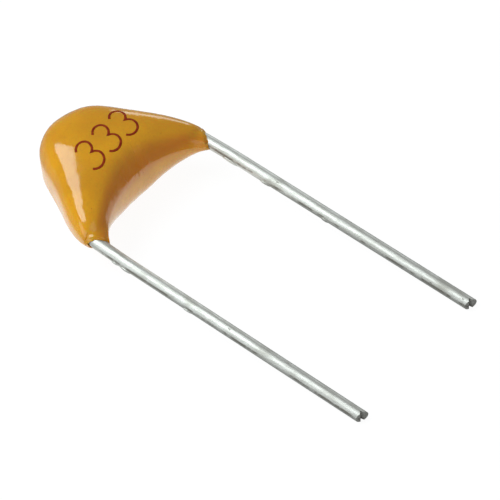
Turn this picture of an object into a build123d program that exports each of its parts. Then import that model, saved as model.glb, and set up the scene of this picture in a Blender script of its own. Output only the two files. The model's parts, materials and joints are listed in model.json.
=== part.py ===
"""Radial-leaded multilayer ceramic capacitor, 5.08 mm pitch, lying loose on its back.

A ceramic chip with interleaved metal plates is soldered between two kinked, tinned wire leads and
dipped in epoxy, which draws a web with an arched edge between the leads. All sizes are millimetres.
The capacitor's own plane holds both lead axes: x across the leads, y from the lead tips towards the
crown and z out of the printed face, with the origin midway between the points where the leads leave
the epoxy. That plane leans, so that the back of the body and both lead tips meet the ground at
z = 0 of the part's frame, as the loose capacitor comes to rest.
"""

import math
import os

from build123d import *

# Wire leads
lead_pitch = 5.08
wire_diameter = 0.40
lead_length = 10.15          # from the epoxy to the cut tip
splay_length = 1.00          # stretch below the epoxy over which a lead spreads to the pitch
splay_inset = 0.04
splay_radius = 20.0
kink_height = 0.35           # above the exit line, where a lead turns in towards the chip
kink_angle = 44.0
kink_radius = 0.50
grip_radius = 0.45           # bend from the slanting stretch to the one beside the chip
grip_length = 0.85           # stretch beside the chip, from the bend's corner to the wire's end
cut_slant = 20.0             # the tips are sheared at a slant, with a nick left by the cutter
nick_depth = 0.10
nick_width = 0.12

# Ceramic chip and the metal plates fired into it
chip_length = 2.00
chip_width = 1.25
chip_thickness = 1.00
chip_edge_radius = 0.05
plate_count = 26
plate_thickness = 0.002
plate_pitch = 0.026
plate_side_margin = 0.20
plate_end_margin = 0.25

# Fired end terminations and the solder that holds the leads to them
termination_wall = 0.035
termination_band = 0.35
termination_edge_radius = 0.06
solder_gap = 0.02            # between a termination and its wire
solder_film = 0.03           # over the outside of the wire
solder_overrun = 0.08        # past the wire's end
solder_side_margin = 0.08    # termination left bare above and below the fillets
solder_hug_angle = 80.0      # degrees round the wire, from its outer side, where a fillet leaves it

# Epoxy body
crown_cover = 1.04           # epoxy beyond the chip, towards the crown
face_cover = 0.87            # epoxy over the chip's two broad sides, on average
setback = 0.23               # distance that the body sags behind the leads' plane
crown_overhang_right = -0.14 # crown's corners, measured outwards from the chip's ends
crown_overhang_left = 0.15
shoulder_inset_right = 0.17  # shoulders, measured inwards from the lead axes
shoulder_inset_left = 0.09
shoulder_height = 1.44
hip_overhang = 0.18          # hips, measured outwards from the lead axes
hip_height = 0.62
outline_radii = (2.0, 3.0, 1.1, 0.85, 1.5, 2.0)
arch_height = 0.80
sleeve_wall = 0.04           # epoxy round each lead where it leaves
sleeve_end_height = 0.15     # where the slanting end of a sleeve crosses its lead's axis
sleeve_end_slant = 51.0      # degrees, lower on the side of the arch
swell_power = 0.85           # below 1 keeps the body thick towards the leads
body_squareness = 3.0        # exponent of the body's middle section, where 2 is an ellipse
sleeve_squareness = 2.0
rib_step = 15                # degrees between the ribs that the body is drawn over
rib_divisions = 8

wire_radius = wire_diameter / 2
lead_x = lead_pitch / 2
sleeve_radius = wire_radius + sleeve_wall
kink_x = lead_x - splay_inset
nick_flank = math.hypot(nick_width / 2, nick_depth)
exit_x = kink_x + splay_inset * kink_height / (kink_height + splay_length)
grip_x = chip_length / 2 + termination_wall + solder_gap + wire_radius
grip_y = kink_height + (kink_x - grip_x) / math.tan(math.radians(kink_angle))
wire_end = grip_y + grip_length
chip_bottom = grip_y
chip_y = chip_bottom + chip_width / 2
body_height = chip_bottom + chip_width + crown_cover
body_half_thickness = chip_thickness / 2 + face_cover
body_middle = (arch_height + body_height) / 2
body_half_span = (body_height - arch_height) / 2


def rib_reach(angle):
    """Furthest that the body's middle rib reaches from its centre, at an angle from its long axis."""
    dual = body_squareness / (body_squareness - 1)
    along = (body_half_span * abs(math.cos(angle))) ** dual
    across = (body_half_thickness * abs(math.sin(angle))) ** dual
    return (along + across) ** (1 / dual)


def lean_at_rest():
    """Lean of the leads' plane, in radians, that brings the back and both tips down level."""
    lean = 0.0
    for _ in range(20):
        back = rib_reach(math.pi / 2 - lean) + (setback - wire_radius) * math.cos(lean)
        lean = math.asin(back / (lead_length + body_middle))
    return lean


lean = lean_at_rest()
tip_spread = wire_radius * math.hypot(math.tan(math.radians(cut_slant)) * math.cos(lean), math.sin(lean))
tip_end = lead_length * math.cos(lean) + tip_spread
crown_end = body_middle * math.cos(lean) + setback * math.sin(lean) + rib_reach(lean)
exit_line_height = lead_length * math.sin(lean) + wire_radius * math.cos(lean)
lead_plane = Plane(
    origin=(0, (tip_end - crown_end) / 2, exit_line_height),
    x_dir=(1, 0, 0),
    z_dir=(0, -math.sin(lean), math.cos(lean)),
)
chip_plane = Plane(
    origin=lead_plane.from_local_coords((0, chip_y, 0)),
    x_dir=lead_plane.x_dir,
    z_dir=lead_plane.z_dir,
)
sides = {"left": -1, "right": 1}
os.makedirs("parts", exist_ok=True)


def finish(builder, label):
    """Name a piece and write it."""
    builder.part.label = label
    export_step(builder.part, f"parts/{label}.step")


# Leads, swept along their route, then sheared and nicked at the tip
leads = {}
for side, sign in sides.items():
    with BuildPart() as lead:
        with BuildLine(lead_plane) as route:
            FilletPolyline(
                (sign * lead_x, -lead_length - wire_diameter),
                (sign * lead_x, -splay_length),
                (sign * kink_x, kink_height),
                (sign * grip_x, grip_y),
                (sign * grip_x, wire_end),
                radius=(splay_radius, kink_radius, grip_radius),
            )
        with BuildSketch(Plane(origin=route.line @ 0, z_dir=route.line % 0)):
            Circle(wire_radius)
        sweep()
        with BuildSketch(lead_plane):
            with Locations(Location((sign * lead_x, -lead_length, 0), (0, 0, -cut_slant))):
                Rectangle(lead_x, lead_x, align=(Align.CENTER, Align.MAX))
                Triangle(a=nick_width, b=nick_flank, c=nick_flank, align=(Align.CENTER, Align.MIN))
        extrude(amount=wire_diameter, both=True, mode=Mode.SUBTRACT)
    leads[side] = lead
    finish(lead, f"lead_{side}")

# Plates, a stack that runs to the two ends of the chip by turns
plate_stacks = {}
for side, sign in sides.items():
    start = 0 if side == "left" else 1
    with BuildPart() as plates:
        for layer in range(start, plate_count, 2):
            height = (layer - (plate_count - 1) / 2) * plate_pitch
            with BuildSketch(chip_plane.offset(height)):
                with Locations((sign * plate_end_margin / 2, 0)):
                    Rectangle(chip_length - plate_end_margin, chip_width - 2 * plate_side_margin)
            extrude(amount=plate_thickness / 2, both=True)
    plate_stacks[side] = plates
    finish(plates, f"electrodes_{side}")

# Ceramic, one block with a slot for each plate
with BuildPart(chip_plane) as ceramic_blank:
    Box(chip_length, chip_width, chip_thickness)
    fillet(ceramic_blank.edges(), radius=chip_edge_radius)
with BuildPart() as ceramic_block:
    add(ceramic_blank.part)
    for plates in plate_stacks.values():
        add(plates.part, mode=Mode.SUBTRACT)
finish(ceramic_block, "ceramic_block")

# Terminations, five-sided caps over the chip's ends
terminations = {}
for side, sign in sides.items():
    with BuildPart() as termination:
        with BuildSketch(chip_plane):
            with Locations((sign * (chip_length + termination_wall - termination_band) / 2, 0)):
                Rectangle(termination_band + termination_wall, chip_width + 2 * termination_wall)
        extrude(amount=chip_thickness / 2 + termination_wall, both=True)
        outer_end = termination.faces().sort_by(Axis.X)[min(sign, 0)]
        fillet(outer_end.edges(), radius=termination_edge_radius)
        add(ceramic_blank.part, mode=Mode.SUBTRACT)
    terminations[side] = termination
    finish(termination, f"termination_{side}")

# Solder, hollow fillets that run from each termination round its wire
solders = {}
face_x = chip_length / 2 + termination_wall
fillet_reach = chip_thickness / 2 - solder_side_margin
film_radius = wire_radius + solder_film
hug = math.radians(solder_hug_angle)
hug_point = (grip_x + film_radius * math.cos(hug), film_radius * math.sin(hug))
for side, sign in sides.items():
    solder_plane = Plane(
        origin=lead_plane.from_local_coords((0, chip_bottom + solder_overrun, 0)),
        x_dir=(sign, 0, 0),
        z_dir=lead_plane.y_dir,
    )
    with BuildPart() as solder:
        with BuildSketch(solder_plane):
            with BuildLine():
                Line((face_x, 0), (face_x, fillet_reach))
                hug_tangent = (-math.sin(hug), math.cos(hug))
                meniscus = TangentArc(hug_point, (face_x, fillet_reach), tangent=hug_tangent)
                ThreePointArc(hug_point, (grip_x + film_radius, 0), (hug_point[0], -hug_point[1]))
                mirror(meniscus, about=Plane.XZ)
                Line((face_x, 0), (face_x, -fillet_reach))
            make_face()
        extrude(amount=grip_length)
        add(leads[side].part, mode=Mode.SUBTRACT)
    solders[side] = solder
    finish(solder, f"solder_{side}")

# Outline of the body, drawn flat: the crown's edge and the arch between the leads
with BuildLine() as crown_edge:
    FilletPolyline(
        (exit_x + sleeve_radius, 0),
        (lead_x + hip_overhang, hip_height),
        (lead_x - shoulder_inset_right, shoulder_height),
        (chip_length / 2 + crown_overhang_right, body_height),
        (-chip_length / 2 - crown_overhang_left, body_height),
        (-lead_x + shoulder_inset_left, shoulder_height),
        (-lead_x - hip_overhang, hip_height),
        (-exit_x - sleeve_radius, 0),
        radius=outline_radii,
    )
with BuildLine() as arch_edge:
    ThreePointArc((sleeve_radius - exit_x, 0), (0, arch_height), (exit_x - sleeve_radius, 0))


def crossing(edge, turn):
    """Point where a ray from the middle of the exit line, turned from the crown, meets an edge."""
    ray = Line((0, 0), (2 * body_height * math.sin(turn), 2 * body_height * math.cos(turn)))
    return Vector(edge.wire().intersect(ray)[0])


def half_rib(half_span, half_thickness, squareness):
    """Points over one side of a squared oval, from end to end."""
    points = []
    for step in range(rib_divisions + 1):
        angle = math.pi * step / rib_divisions
        along, across = math.cos(angle), math.sin(angle)
        size = (abs(along) ** squareness + abs(across) ** squareness) ** (-1 / squareness)
        points.append((half_span * along * size, half_thickness * across * size))
    return points


# Ribs that the epoxy is drawn over: a fan from the exit line, and a slanting one at each sleeve's end
fan = [math.radians(degrees) for degrees in range(rib_step - 90, 90, rib_step)]
ribs = [(crossing(arch_edge, turn), crossing(crown_edge, turn), math.cos(turn)) for turn in fan]
end_rise = sleeve_radius * math.tan(math.radians(sleeve_end_slant))
end_inner = Vector(exit_x - sleeve_radius, sleeve_end_height - end_rise)
end_outer = Vector(exit_x + sleeve_radius, sleeve_end_height + end_rise)
ribs.append((end_inner, end_outer, 0))
ribs.insert(0, (Vector(-end_inner.X, end_inner.Y), Vector(-end_outer.X, end_outer.Y), 0))

# Epoxy, which swells from the sleeves to the crown
with BuildPart() as epoxy_coating:
    for inner, outer, swell in ribs:
        middle = (inner + outer) / 2 - Vector(0, 0, setback * swell)
        along = (outer - inner).normalized()
        rib_plane = Plane(
            origin=lead_plane.from_local_coords(middle),
            x_dir=lead_plane.x_dir * along.X + lead_plane.y_dir * along.Y,
            z_dir=lead_plane.x_dir * along.Y - lead_plane.y_dir * along.X,
        )
        half_span = (outer - inner).length / 2
        half_thickness = sleeve_radius + (body_half_thickness - sleeve_radius) * swell**swell_power
        squareness = sleeve_squareness + (body_squareness - sleeve_squareness) * swell
        with BuildSketch(rib_plane):
            with BuildLine():
                Spline(*half_rib(half_span, half_thickness, squareness), tangents=((0, 1), (0, -1)))
                Spline(*half_rib(-half_span, -half_thickness, squareness), tangents=((0, -1), (0, 1)))
            make_face()
    loft()
    for piece in (ceramic_blank, *leads.values(), *terminations.values(), *solders.values()):
        add(piece.part, mode=Mode.SUBTRACT)
finish(epoxy_coating, "epoxy_coating")
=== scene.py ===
"""Dipped multilayer ceramic capacitor with tinned leads, lying on its back on a pale table."""

import json
import math

import bpy
from mathutils import Matrix, Vector
from mathutils.bvhtree import BVHTree


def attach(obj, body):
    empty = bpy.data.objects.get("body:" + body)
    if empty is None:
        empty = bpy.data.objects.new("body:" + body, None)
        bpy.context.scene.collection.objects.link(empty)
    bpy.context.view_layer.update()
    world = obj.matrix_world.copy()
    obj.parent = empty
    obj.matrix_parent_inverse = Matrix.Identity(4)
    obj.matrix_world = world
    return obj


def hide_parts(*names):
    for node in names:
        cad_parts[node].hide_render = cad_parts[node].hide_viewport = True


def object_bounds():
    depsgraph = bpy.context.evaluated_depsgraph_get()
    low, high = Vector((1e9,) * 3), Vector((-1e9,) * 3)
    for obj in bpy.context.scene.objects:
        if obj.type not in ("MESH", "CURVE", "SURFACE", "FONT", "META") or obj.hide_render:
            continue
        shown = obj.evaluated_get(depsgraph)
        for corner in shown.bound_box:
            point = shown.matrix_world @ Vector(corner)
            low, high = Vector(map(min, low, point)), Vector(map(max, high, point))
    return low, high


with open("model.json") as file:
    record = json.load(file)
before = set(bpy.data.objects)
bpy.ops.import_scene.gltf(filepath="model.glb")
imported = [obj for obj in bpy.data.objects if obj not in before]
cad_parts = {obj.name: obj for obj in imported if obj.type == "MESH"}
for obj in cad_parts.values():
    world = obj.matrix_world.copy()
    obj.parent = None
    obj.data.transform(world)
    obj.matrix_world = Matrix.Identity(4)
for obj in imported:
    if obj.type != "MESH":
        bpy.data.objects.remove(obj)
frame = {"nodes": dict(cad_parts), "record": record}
cad_low, cad_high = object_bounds()
scene = bpy.context.scene
MM = 0.001

# Sizes in millimetres, in the capacitor's own plane: x across the leads, y up the body, z out of the face
LEAD_PAIR = next(mount for mount in frame["record"]["mounts"] if mount["name"] == "lead_pair")
LEAD_X = LEAD_PAIR["dims"]["pcd_mm"] / 2
WIRE_RADIUS = LEAD_PAIR["dims"]["stud_r_mm"]
PAIR_BELOW_EXIT = 5.646        # from the line where the leads leave the epoxy down to the mount
EXIT_X = 2.51                  # middle of a lead at that line
SPLAY_LENGTH = 1.0             # below it, the way down to where a lead has reached its full pitch

# The plane of the leads leans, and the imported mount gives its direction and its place
UP_BODY = -Vector(LEAD_PAIR["axis"]).normalized()
ACROSS = Vector((1, 0, 0))
FACE_OUT = ACROSS.cross(UP_BODY)
EXIT_POINT = Vector(LEAD_PAIR["pos_m"]) + UP_BODY * PAIR_BELOW_EXIT * MM


def place(x, y, z):
    """A point given in the capacitor's own plane, in the row frame."""
    return EXIT_POINT + (ACROSS * x + UP_BODY * y + FACE_OUT * z) * MM


def own_place(point):
    """A point of the row frame, in the capacitor's own plane, in millimetres."""
    offset = (point - EXIT_POINT) / MM
    return offset.dot(ACROSS), offset.dot(UP_BODY), offset.dot(FACE_OUT)


# Camera, as in the photograph: a long lens from above the lead tips, on the left lead's side
CAMERA_AT = Vector((-47.635, -58.042, 84.157)) * MM
CAMERA_RIGHT = Vector((0.64325, -0.75087, -0.14976))
CAMERA_UP = Vector((0.63566, 0.41469, 0.65113))
CAMERA_LENS = 268.61
CAMERA_NEAR = 0.001
CAMERA_FAR = 10


def add_camera():
    """Set up the camera that the photograph was taken from."""
    data = bpy.data.cameras.new("camera")
    data.lens = CAMERA_LENS
    data.clip_start = CAMERA_NEAR
    data.clip_end = CAMERA_FAR
    camera = bpy.data.objects.new("camera", data)
    scene.collection.objects.link(camera)
    back = CAMERA_RIGHT.cross(CAMERA_UP).normalized()
    right = CAMERA_UP.cross(back).normalized()
    up = back.cross(right)
    turn = Matrix((right, up, back)).transposed().to_4x4()
    camera.matrix_world = Matrix.Translation(CAMERA_AT) @ turn
    scene.camera = camera


def plug(tree, item, slot):
    """Link a value to a socket, or set a constant on it."""
    if isinstance(item, Value):
        tree.links.new(item.socket, slot)
    else:
        slot.default_value = item


def add_node(tree, kind, sockets=None, settings=None, output=0):
    """Add a node: its settings first, then the values or links of its sockets."""
    made = tree.nodes.new(kind)
    for key, value in (settings or {}).items():
        setattr(made, key, value)
    for key, item in (sockets or {}).items():
        plug(tree, item, made.inputs[key])
    return Value(tree, made.outputs[output])


class Value:
    """A shader socket whose arithmetic adds Math nodes."""

    def __init__(self, tree, socket):
        self.tree = tree
        self.socket = socket

    def math(self, operation, *others):
        """One Math node on this value and the others."""
        sockets = dict(enumerate((self, *others)))
        return add_node(self.tree, "ShaderNodeMath", sockets, {"operation": operation})

    def __add__(self, other):
        return self.math("ADD", other)

    def __radd__(self, other):
        return self.math("ADD", other)

    def __sub__(self, other):
        return self.math("SUBTRACT", other)

    def __rsub__(self, other):
        return (self * -1).math("ADD", other)

    def __mul__(self, other):
        return self.math("MULTIPLY", other)

    def __rmul__(self, other):
        return self.math("MULTIPLY", other)

    def __truediv__(self, other):
        return self.math("DIVIDE", other)

    def step(self, zero_at, one_at):
        """0 at the first number and beyond it, 1 at the second and beyond it, smooth between."""
        sockets = {"Value": self, "From Min": zero_at, "From Max": one_at}
        settings = {"interpolation_type": "SMOOTHSTEP"}
        return add_node(self.tree, "ShaderNodeMapRange", sockets, settings)


class Finish:
    """A node material around one Principled shader."""

    def __init__(self, name, constants=None):
        self.material = bpy.data.materials.new(name)
        self.material.use_nodes = True
        self.tree = self.material.node_tree
        self.shader = self.tree.nodes["Principled BSDF"]
        self.place = add_node(self.tree, "ShaderNodeTexCoord", output="Object")
        for socket, value in (constants or {}).items():
            self.set(socket, value)

    def set(self, socket, value):
        """Link or set one socket of the shader."""
        plug(self.tree, value, self.shader.inputs[socket])

    def coordinate(self, axis):
        """One object coordinate in millimetres: 0 for x, 1 for y and 2 for z."""
        return add_node(self.tree, "ShaderNodeSeparateXYZ", {"Vector": self.place}, output=axis) / MM

    def stretched(self, scale):
        """Object coordinates, scaled unevenly."""
        return add_node(self.tree, "ShaderNodeMapping", {"Vector": self.place, "Scale": scale})

    def noise(self, scale, detail=3.0, roughness=0.5, at=None):
        """Noise with a grain given as repeats for each millimetre."""
        sockets = {"Vector": at or self.place, "Scale": scale / MM, "Detail": detail, "Roughness": roughness}
        return add_node(self.tree, "ShaderNodeTexNoise", sockets)

    def cells(self, scale, at=None):
        """Distance to the nearest of scattered points, with their repeats for each millimetre."""
        sockets = {"Vector": at or self.place, "Scale": scale / MM}
        return add_node(self.tree, "ShaderNodeTexVoronoi", sockets)

    def mix(self, share, first, second):
        """Colour that goes from first to second."""
        sockets = {"Factor": share, 6: first, 7: second}
        return add_node(self.tree, "ShaderNodeMix", sockets, {"data_type": "RGBA"}, output=2)

    def bump(self, height, distance, after=None):
        """Bump of a height in 0 to 1, over a distance in millimetres, on top of an earlier bump."""
        sockets = {"Distance": distance * MM, "Height": height}
        if after is not None:
            sockets["Normal"] = after
        return add_node(self.tree, "ShaderNodeBump", sockets)


def rgb(red, green, blue):
    """A colour written in screen values of 0 to 255, as the shader's linear values."""
    linear = []
    for part in (red, green, blue):
        share = part / 255
        linear.append(share / 12.92 if share <= 0.04045 else ((share + 0.055) / 1.055) ** 2.4)
    return (*linear, 1.0)


# Mustard epoxy
EPOXY_IOR = 1.65
EPOXY_SCATTER = 0.25           # share of light that scatters under the skin
EPOXY_DEPTH = 0.35             # and how deep, in millimetres
MUSTARD = rgb(221, 155, 0)
MUSTARD_CLOUD = rgb(210, 145, 2)
MUSTARD_GRAIN = rgb(184, 122, 4)
# painted shade: a deeper orange on the arch's upper band, where it turns away from the light
ARCH_SHADE_ORANGE = rgb(200, 118, 0)
DARK_SPECK = rgb(118, 68, 10)
LIGHT_SPECK = rgb(228, 180, 80)
RIPPLE_DEPTH = 0.03
PIT_DEPTH = 0.012

# Arch between the leads, in the row frame: its top, its bend and where its painted shade, a deeper orange,
# fades in
ARCH_TOP = 3.90
ARCH_BEND = 0.14
ARCH_SHADE_FROM = (0.36, 0.0)        # place above the arch's line
ARCH_SHADE_RISE = (1.2, 1.8)         # height above the table


def epoxy_finish():
    """Glossy mustard epoxy with a cloudy tint, fine specks, pinholes and painted shade on the arch between
    the leads.
    """
    constants = {"IOR": EPOXY_IOR, "Subsurface Weight": EPOXY_SCATTER, "Subsurface Scale": EPOXY_DEPTH * MM}
    made = Finish("mustard_epoxy", constants)
    across, up, height = (made.coordinate(axis) for axis in range(3))
    clouds = made.noise(0.8, detail=2.0)
    grain = made.noise(13.0, detail=4.0, roughness=0.65)
    dark = made.cells(3.2).step(0.045, 0.02) * made.noise(1.1).step(0.42, 0.6)
    light_cells = made.cells(5.0, at=made.stretched((1.0, 1.1, 0.9)))
    light = light_cells.step(0.05, 0.015) * made.noise(1.7).step(0.5, 0.62)
    above_arch = up + across * across * ARCH_BEND - ARCH_TOP
    # painted shade on the arch's upper band, above the arch's line and above the table
    arch_shade = above_arch.step(*ARCH_SHADE_FROM) * height.step(*ARCH_SHADE_RISE)
    tint = made.mix(clouds.step(0.35, 0.65), MUSTARD, MUSTARD_CLOUD)
    tint = made.mix(arch_shade, tint, ARCH_SHADE_ORANGE)
    tint = made.mix(grain.step(0.45, 0.8) * 0.35, tint, MUSTARD_GRAIN)
    tint = made.mix(dark * 0.75, tint, DARK_SPECK)
    tint = made.mix(light * 0.5, tint, LIGHT_SPECK)
    made.set("Base Color", tint)
    made.set("Roughness", 0.11 + grain.step(0.3, 0.8) * 0.06)
    ripple = made.noise(1.0, detail=1.0) * 0.85 + made.noise(9.0, detail=3.0) * 0.05
    rippled = made.bump(ripple, RIPPLE_DEPTH)
    made.set("Normal", made.bump(1 - dark, PIT_DEPTH, after=rippled))
    return made.material


# Marking ink
INK_IOR = 1.25
INK_RED = rgb(124, 30, 0)
INK_WORN = rgb(152, 54, 2)
INK_GRIT = 0.004


def ink_finish():
    """Dark red-brown marking ink, thin where the strokes are dry."""
    made = Finish("marking_ink", {"IOR": INK_IOR})
    wear = made.noise(7.0, detail=3.0, roughness=0.6)
    made.set("Base Color", made.mix(wear.step(0.35, 0.7), INK_RED, INK_WORN))
    made.set("Roughness", 0.5 + wear * 0.2)
    made.set("Normal", made.bump(wear, INK_GRIT))
    return made.material


# Tin on the leads
TIN = rgb(216, 217, 212)
TIN_STREAK = rgb(192, 192, 184)
TIN_PATCH = rgb(160, 158, 146)
TIN_DULL = rgb(166, 164, 160)
# painted reflection: the dark line that the wire's lower side mirrors from the darker table
DARK_REFLECTION = rgb(112, 106, 96)
NICK = rgb(120, 116, 106)
TIN_METAL = 0.80
STREAK_DEPTH = 0.004
NICK_DEPTH = 0.01
DULL_ENDS = (1.0, -6.0)        # where the tin turns duller, towards the cut ends, in the row frame
DARK_LINE_WAY = (-0.70, -0.71)      # side of the wire that carries a broken line of painted dark reflection
DARK_LINE_FROM = (0.18, 0.36)       # where the line fades in, in wire radii towards that side
DARK_LINE_TO = (0.50, 0.70)         # and where it fades out


def tin_finish():
    """Bright tin on wire: drawn streaks, dull patches, small nicks and a broken line of painted dark
    reflection along the wire's lower side.
    """
    made = Finish("bright_tin")
    across, along, height = (made.coordinate(axis) for axis in range(3))
    drawn = made.stretched((1.0, 0.5, 1.0))
    streaks = made.noise(16.0, detail=4.0, roughness=0.6, at=made.stretched((1.0, 0.06, 1.0)))
    patches = made.noise(0.9, detail=3.0, roughness=0.6)
    nicks = made.cells(3.0, at=drawn).step(0.10, 0.03)
    wire_height = (along - EXIT_POINT.y / MM) * (UP_BODY.z / UP_BODY.y) + EXIT_POINT.z / MM
    aside = across - across.math("SIGN") * LEAD_X
    lower = (aside * DARK_LINE_WAY[0] + (height - wire_height) * DARK_LINE_WAY[1]) / WIRE_RADIUS
    dark_line = lower.step(*DARK_LINE_FROM) * (1 - lower.step(*DARK_LINE_TO))
    broken = made.noise(2.2, detail=3.0, roughness=0.7, at=drawn).step(0.42, 0.56)
    shade = made.mix(streaks.step(0.35, 0.7), TIN, TIN_STREAK)
    shade = made.mix(patches.step(0.5, 0.75) * 0.5, shade, TIN_PATCH)
    shade = made.mix(along.step(*DULL_ENDS) * 0.35, shade, TIN_DULL)
    # painted reflection: a broken dark line along the lower side of the wire
    shade = made.mix(dark_line * broken * 0.75, shade, DARK_REFLECTION)
    made.set("Base Color", made.mix(nicks * 0.5, shade, NICK))
    made.set("Metallic", TIN_METAL)
    made.set("Roughness", 0.42 + streaks * 0.10 + patches.step(0.4, 0.8) * 0.10)
    streaked = made.bump(streaks, STREAK_DEPTH)
    made.set("Normal", made.bump(1 - nicks, NICK_DEPTH, after=streaked))
    return made.material


# Pieces inside the epoxy: start of the name, slot, finish, two tones, metal, roughness and grain
INNER_PIECES = (
    ("ceramic_block", "ceramic", "fired_ceramic", (196, 172, 142), (176, 150, 120), 0.0, 0.50, 9.0),
    ("electrodes", "plate_metal", "plate_metal", (150, 148, 142), (128, 126, 120), 1.0, 0.30, 20.0),
    ("termination", "termination_metal", "fired_silver", (206, 204, 198), (180, 178, 170), 1.0, 0.40, 14.0),
    ("solder", "solder", "solder", (186, 188, 188), (150, 152, 154), 1.0, 0.25, 6.0),
)
MOTTLE_DEPTH = 0.004


def inner_finish(name, tone, other_tone, metal, roughness, grain):
    """Plain mottled finish for a piece inside the epoxy."""
    made = Finish(name)
    mottle = made.noise(grain, detail=4.0, roughness=0.6)
    made.set("Base Color", made.mix(mottle.step(0.35, 0.7), rgb(*tone), rgb(*other_tone)))
    made.set("Metallic", metal)
    made.set("Roughness", roughness + mottle * 0.12)
    made.set("Normal", made.bump(mottle, MOTTLE_DEPTH))
    return made.material


def dress(node, material):
    """Give a carried-over node its finish."""
    piece = frame["nodes"][node]
    piece.data.materials.clear()
    piece.data.materials.append(material)


def deselect():
    """Leave nothing selected before an operator adds or changes a mesh."""
    bpy.ops.object.select_all(action="DESELECT")


def finished(piece, name, material):
    """Name a new piece, dress it and let it ride on the capacitor."""
    piece.name = name
    piece.data.materials.clear()
    piece.data.materials.append(material)
    for face in piece.data.polygons:
        face.use_smooth = True
    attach(piece, "root")


# Epoxy skin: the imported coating, merged, with its crown filled out and its left shoulder drawn in
MERGE_WITHIN = 1e-7
SWELLS = (                     # middle, direction across and up, amount and reach
    ((-0.05, 3.82, 0.70), (-0.30, 0.95), 0.16, 0.58),
    ((-1.90, 2.30, -0.20), (0.85, -0.5), 0.04, 1.00),
)

# The walls of the chip's hollow lie within these places, and stay where they are
HOLLOW_X = 1.62
HOLLOW_Y = (1.5, 3.05)
HOLLOW_Z = 0.62


def shape_coating(epoxy):
    """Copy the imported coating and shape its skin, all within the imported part's box."""
    deselect()
    piece = frame["nodes"]["epoxy_coating"].copy()
    piece.data = piece.data.copy()
    scene.collection.objects.link(piece)
    bpy.context.view_layer.objects.active = piece
    piece.select_set(True)
    bpy.ops.object.mode_set(mode="EDIT")
    bpy.ops.mesh.select_all(action="SELECT")
    bpy.ops.mesh.remove_doubles(threshold=MERGE_WITHIN)
    bpy.ops.object.mode_set(mode="OBJECT")
    for vertex in piece.data.vertices:
        x, y, z = own_place(vertex.co)
        if abs(x) < HOLLOW_X and abs(z) < HOLLOW_Z and HOLLOW_Y[0] < y < HOLLOW_Y[1]:
            continue
        for middle, (toward_x, toward_y), amount, reach in SWELLS:
            share = math.exp(-((Vector((x, y, z)) - Vector(middle)).length / reach) ** 2)
            vertex.co += (ACROSS * toward_x + UP_BODY * toward_y) * amount * share * MM
        for axis, (low, high) in enumerate(zip(cad_low, cad_high)):
            vertex.co[axis] = min(max(vertex.co[axis], low), high)
    finished(piece, "epoxy_skin", epoxy)
    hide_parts("epoxy_coating")
    return piece


# Lips: where the epoxy draws out to a feather edge on the leads, at the slant of the coating's ends
LIP_SEGMENTS = 64
LIP_LENGTH = 0.06
LIP_UPPER_RADIUS = 0.243
LIP_LOWER_RADIUS = 0.212
LIP_MIDDLE = 0.15
LIP_OVERLAP = 0.03             # the upper end reaches this much further into the coating
LIP_SLANT = 1.235
LIP_RAGGED = 0.015
LIP_WAVES = 5                  # round the lower edge
LIP_RIPPLES = 11
RIPPLE_SHARE = 0.6


def add_lip(side, sign, epoxy):
    """Ragged sleeve of epoxy round one lead, open at both ends."""
    deselect()
    bpy.ops.mesh.primitive_cone_add(
        vertices=LIP_SEGMENTS,
        radius1=LIP_LOWER_RADIUS,
        radius2=LIP_UPPER_RADIUS,
        depth=LIP_LENGTH,
        end_fill_type="NOTHING",
    )
    lip = bpy.context.object
    for vertex in lip.data.vertices:
        x, z, y = vertex.co
        turn = math.atan2(z, x)
        waves = math.sin(LIP_WAVES * turn + sign) + RIPPLE_SHARE * math.sin(LIP_RIPPLES * turn)
        edge = LIP_RAGGED * waves if y < 0 else LIP_OVERLAP
        y += LIP_MIDDLE - LIP_LENGTH / 2 + edge + sign * x * LIP_SLANT
        vertex.co = place(sign * EXIT_X + x, y, z)
    finished(lip, f"epoxy_lip_{side}", epoxy)


# Beads of tin that froze on the leads after dipping
BEADS = (                      # lead, place down from the exit line, turn round the lead, length and height
    (-1, 1.15, -118, 0.44, 0.030),
    (-1, 0.72, -125, 0.30, 0.025),
    (-1, 3.60, -125, 0.40, 0.020),
    (1, 0.95, -115, 0.70, 0.035),
    (1, 2.35, -122, 0.44, 0.030),
    (1, 4.70, -112, 0.30, 0.020),
)
BEAD_HALF_WIDTH = 0.13
BEAD_SUNK = 0.02               # depth of a bead's widest line under the wire's skin
BEAD_SEGMENTS = 24
BEAD_RINGS = 16


def add_beads(tin):
    """Flattened drops along the leads, each sunk a little into its wire."""
    for number, (sign, down, degrees, length, height) in enumerate(BEADS):
        deselect()
        bpy.ops.mesh.primitive_uv_sphere_add(segments=BEAD_SEGMENTS, ring_count=BEAD_RINGS, radius=1)
        bead = bpy.context.object
        turn = math.radians(degrees)
        lead_x = sign * (EXIT_X + (LEAD_X - EXIT_X) * min(down / SPLAY_LENGTH, 1))
        for vertex in bead.data.vertices:
            along, aside, rise = vertex.co
            aside *= BEAD_HALF_WIDTH
            reach = WIRE_RADIUS - BEAD_SUNK + rise * (height + BEAD_SUNK)
            x = lead_x + reach * math.sin(turn) + aside * math.cos(turn)
            z = reach * math.cos(turn) - aside * math.sin(turn)
            vertex.co = place(x, along * length / 2 - down, z)
        finished(bead, f"tin_bead_{number}", tin)


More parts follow.
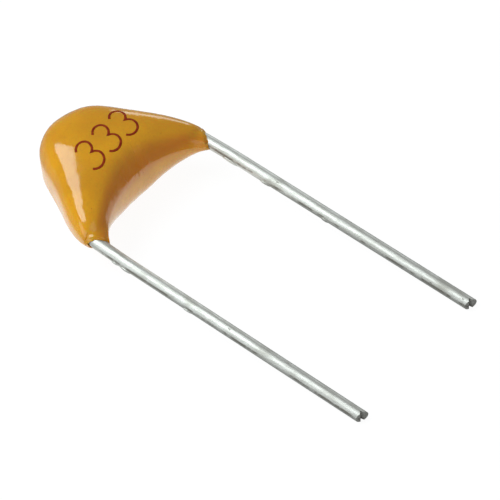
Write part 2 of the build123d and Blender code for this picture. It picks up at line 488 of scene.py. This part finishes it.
# Value code: three single-stroke digits of thin ink that follow the face
DIGIT_COUNT = 3
DIGIT_PITCH = 0.79
DIGIT_CORNER = (-1.02, 1.41)   # lower left corner of the first digit
DIGIT_SLANT = 0.11             # sideways shift for each millimetre of height
DIGIT_CLIMB = 0.025            # rise of the row for each millimetre
STROKE_WIDTH = 0.08
STROKE_ROUNDING = 3            # steps in the round of a stroke's section
INK_FLATNESS = 0.22            # thickness of the ink as a share of its width
ABOVE_FACE = 5                 # where the rays start that find the face
LOBES = (                      # centre, radii and the angles that the stroke runs between
    ((0.29, 0.795), (0.265, 0.265), 152, -72),
    ((0.28, 0.280), (0.305, 0.280), 78, -150),
)
LOBE_STEP = 12


def stroke_points():
    """Route of the pen round the two lobes of a digit."""
    points = []
    for (middle_x, middle_y), (radius_x, radius_y), start, end in LOBES:
        for degrees in range(start, end - 1, -LOBE_STEP):
            turn = math.radians(degrees)
            x = middle_x + radius_x * math.cos(turn)
            y = middle_y + radius_y * math.sin(turn)
            points.append((x, y))
    return points


def add_value_code(coating, ink):
    """Draw the digits flat, then lay them on the epoxy's face."""
    deselect()
    strokes = bpy.data.curves.new("value_code", "CURVE")
    strokes.dimensions = "3D"
    strokes.bevel_depth = STROKE_WIDTH / 2
    strokes.bevel_resolution = STROKE_ROUNDING
    strokes.use_fill_caps = True
    route = stroke_points()
    for digit in range(DIGIT_COUNT):
        line = strokes.splines.new("POLY")
        line.points.add(len(route) - 1)
        for point, (x, y) in zip(line.points, route):
            across = DIGIT_CORNER[0] + digit * DIGIT_PITCH + x + y * DIGIT_SLANT
            up = DIGIT_CORNER[1] + y + (digit * DIGIT_PITCH + x) * DIGIT_CLIMB
            point.co = (across, up, 0, 1)
    code = bpy.data.objects.new("value_code", strokes)
    scene.collection.objects.link(code)
    bpy.context.view_layer.objects.active = code
    code.select_set(True)
    bpy.ops.object.convert(target="MESH")
    skin = BVHTree.FromObject(coating, bpy.context.evaluated_depsgraph_get())
    for vertex in code.data.vertices:
        x, y, height = vertex.co
        hit, normal, _, _ = skin.ray_cast(place(x, y, ABOVE_FACE), -FACE_OUT)
        vertex.co = hit + normal * height * INK_FLATNESS * MM
    finished(code, "value_code", ink)


add_camera()
epoxy = epoxy_finish()
tin = tin_finish()
dress("epoxy_coating", epoxy)
coating = shape_coating(epoxy)
for side, sign in (("left", -1), ("right", 1)):
    add_lip(side, sign, epoxy)
add_beads(tin)
for side in ("left", "right"):
    dress(f"lead_{side}", tin)
inner_looks = [(start, slot, inner_finish(*look)) for start, slot, *look in INNER_PIECES]
for node in frame["nodes"]:
    for start, slot, material in inner_looks:
        if node.startswith(start):
            dress(node, material)
add_value_code(coating, ink_finish())


# Table: a pale sheet with a white glow, which is darker in what the glossy epoxy mirrors
WHITE = (1, 1, 1, 1)
TABLE_SIZE = 0.6
TABLE_ROUGHNESS = 0.9
PALE_TABLE = (0.85, 0.85, 0.85, 1)
DARK_TABLE = (0.25, 0.25, 0.25, 1)
GLOW_LEVEL = 1.06
SEEN_GLOW = 0.88               # share of glow in the table, as the camera sees it
PLAIN_GLOW = 0.60              # as it lights the body from below
MIRRORED_GLOW = 0.95           # and as polished surfaces mirror it, close to the body
MIRRORED_FROM = (1.0, 2.4)     # where that glow comes in, going up the body, in millimetres
MIRRORED_TO = (3.2, 4.3)       # and where it goes out, as a distance from the body's middle
MIRRORED_FADE = 0.85           # share of it that goes out
BODY_MIDDLE = 5.0


def add_floor():
    """Add the table and blend its plain and glowing looks by the kind of ray that meets it."""
    bpy.ops.mesh.primitive_plane_add(size=TABLE_SIZE, location=(0, 0, 0))
    floor = bpy.context.object
    floor.name = "table"
    made = Finish("white_table", {"Roughness": TABLE_ROUGHNESS})
    seen = add_node(made.tree, "ShaderNodeLightPath", output="Is Camera Ray")
    mirrored = add_node(made.tree, "ShaderNodeLightPath", output="Is Glossy Ray")
    across = made.coordinate(0)
    back = made.coordinate(1)
    beyond = back - BODY_MIDDLE
    away = (across * across + beyond * beyond).math("SQRT")
    close = back.step(*MIRRORED_FROM) * (1 - away.step(*MIRRORED_TO) * MIRRORED_FADE)
    made.set("Base Color", made.mix(mirrored * (1 - close), PALE_TABLE, DARK_TABLE))
    glowing = (mirrored * close * MIRRORED_GLOW).math("MAXIMUM", (1 - mirrored) * PLAIN_GLOW)
    share = (seen * SEEN_GLOW).math("MAXIMUM", glowing)
    plain = Value(made.tree, made.shader.outputs[0])
    glow = add_node(made.tree, "ShaderNodeEmission", {"Color": WHITE, "Strength": GLOW_LEVEL})
    blend = add_node(made.tree, "ShaderNodeMixShader", {0: share, 1: plain, 2: glow})
    plug(made.tree, blend, made.tree.nodes["Material Output"].inputs["Surface"])
    floor.data.materials.append(made.material)


# Studio light, in metres and watts
WORLD_LEVEL = 0.30
LIGHT_COLOUR = (0.91, 0.98, 1.0)
LIGHT_AIM = Vector((0, 0, 0.001))
SOFTBOXES = (                  # name, place, width, height and power
    ("back_softbox", (-0.040, 0.058, 0.120), 0.130, 0.090, 0.148),
    ("left_card", (-0.150, 0.020, 0.040), 0.160, 0.080, 0.050),
    ("right_card", (0.130, 0.065, 0.032), 0.060, 0.040, 0.020),
    ("front_card", (-0.030, -0.100, 0.085), 0.090, 0.090, 0.015),
)


def add_softbox(name, at, width, height, power):
    """One flat lamp that faces the capacitor."""
    data = bpy.data.lights.new(name, "AREA")
    data.shape = "RECTANGLE"
    data.size = width
    data.size_y = height
    data.energy = power
    data.color = LIGHT_COLOUR
    light = bpy.data.objects.new(name, data)
    scene.collection.objects.link(light)
    light.location = at
    light.rotation_euler = (LIGHT_AIM - Vector(at)).to_track_quat("-Z", "Y").to_euler()


def add_lighting():
    """Even light from all round, and the softboxes."""
    world = bpy.data.worlds.new("studio")
    world.use_nodes = True
    background = world.node_tree.nodes["Background"]
    background.inputs["Color"].default_value = WHITE
    background.inputs["Strength"].default_value = WORLD_LEVEL
    scene.world = world
    for softbox in SOFTBOXES:
        add_softbox(*softbox)


deselect()
add_floor()
add_lighting()
scene.view_settings.view_transform = "Standard"
